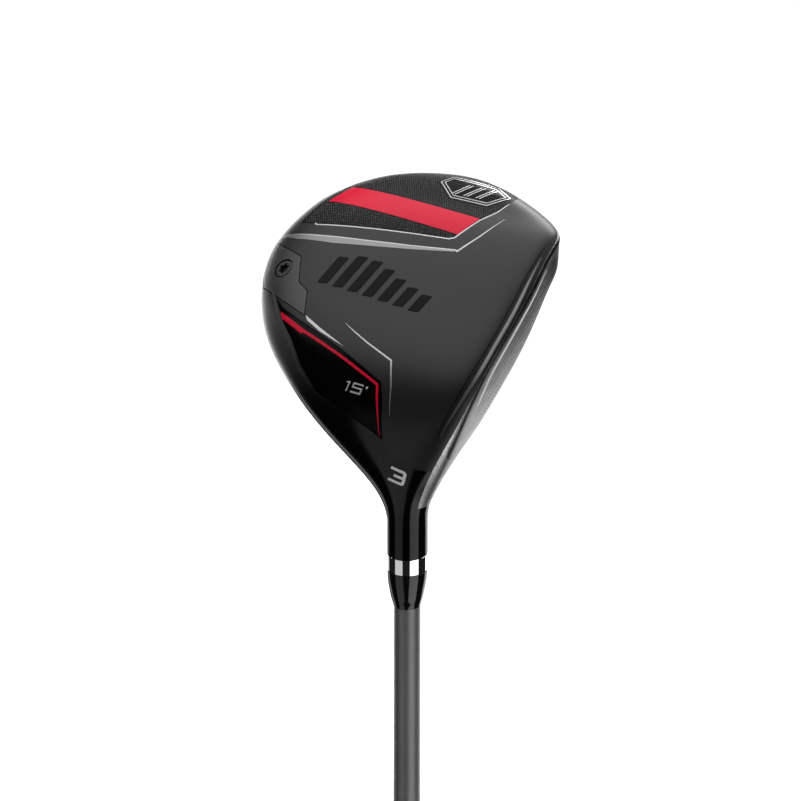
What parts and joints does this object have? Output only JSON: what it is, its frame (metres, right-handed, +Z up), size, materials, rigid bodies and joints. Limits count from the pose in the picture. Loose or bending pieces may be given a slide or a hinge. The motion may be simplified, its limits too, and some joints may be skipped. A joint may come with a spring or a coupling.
{
  "type": "fairway wood",
  "caption": "Right-handed fairway wood with a hollow lofted head, black and red sole badges, a screwed rear weight, a ferrule, and a tapered shaft with a rubber grip.",
  "frame": {"origin": "centre of the flat butt end of the grip", "axes": "+Z up the shaft's axis from the butt to the head, +X the way the face looks at address, +Y from the sole side of the shaft to its crown side"},
  "size_m": [0.0935, 0.0946, 1.1279],
  "materials": {
    "satin_grey": "satin dark grey over cast steel",
    "face_steel": "fine blasted steel",
    "gloss_black": "gloss black lacquer",
    "red_gloss": "gloss red",
    "textured_black": "black with a fine dot texture",
    "silver": "bright satin metal",
    "tungsten": "dark sintered metal",
    "bright_chrome": "mirror polish",
    "shaft_grey": "satin grey paint",
    "foam": "cork coloured foam",
    "rubber": "matt black",
    "tape": "masking tape"
  },
  "bodies": {
    "club": {"head_body": "satin_grey", "face_plate": "face_steel", "crown_shell": "gloss_black", "toe_panel": "textured_black", "toe_stripe": "red_gloss", "toe_emblem": "silver", "heel_panel": "gloss_black", "heel_trim": "red_gloss", "thread_insert": "silver", "ferrule": "gloss_black", "ferrule_ring": "bright_chrome", "shaft": "shaft_grey", "tip_plug": "foam", "grip_tape": "tape", "grip": "rubber", "grip_cap": "rubber"},
    "rear_weight": {"weight_plate": "satin_grey", "weight_slug": "tungsten"},
    "screw": {"weight_screw": "tungsten", "screw_retainer": "silver"}
  },
  "joints": [
    {"name": "weight_lift", "type": "slide", "parent": "club", "child": "rear_weight", "axis": [-0.3129, -0.5628, 0.7651], "range_m": [0, 0.0046]},
    {"name": "screw_turn", "type": "hinge", "parent": "rear_weight", "child": "screw", "pos_m": [-0.05899, 0.03012, 1.10496], "axis": [-0.3129, -0.5628, 0.7651], "range_deg": [0, 2071]}
  ],
  "couplings": [
    {"joint": "screw_turn", "follows": "weight_lift", "rad_per_m": 7854}
  ]
}
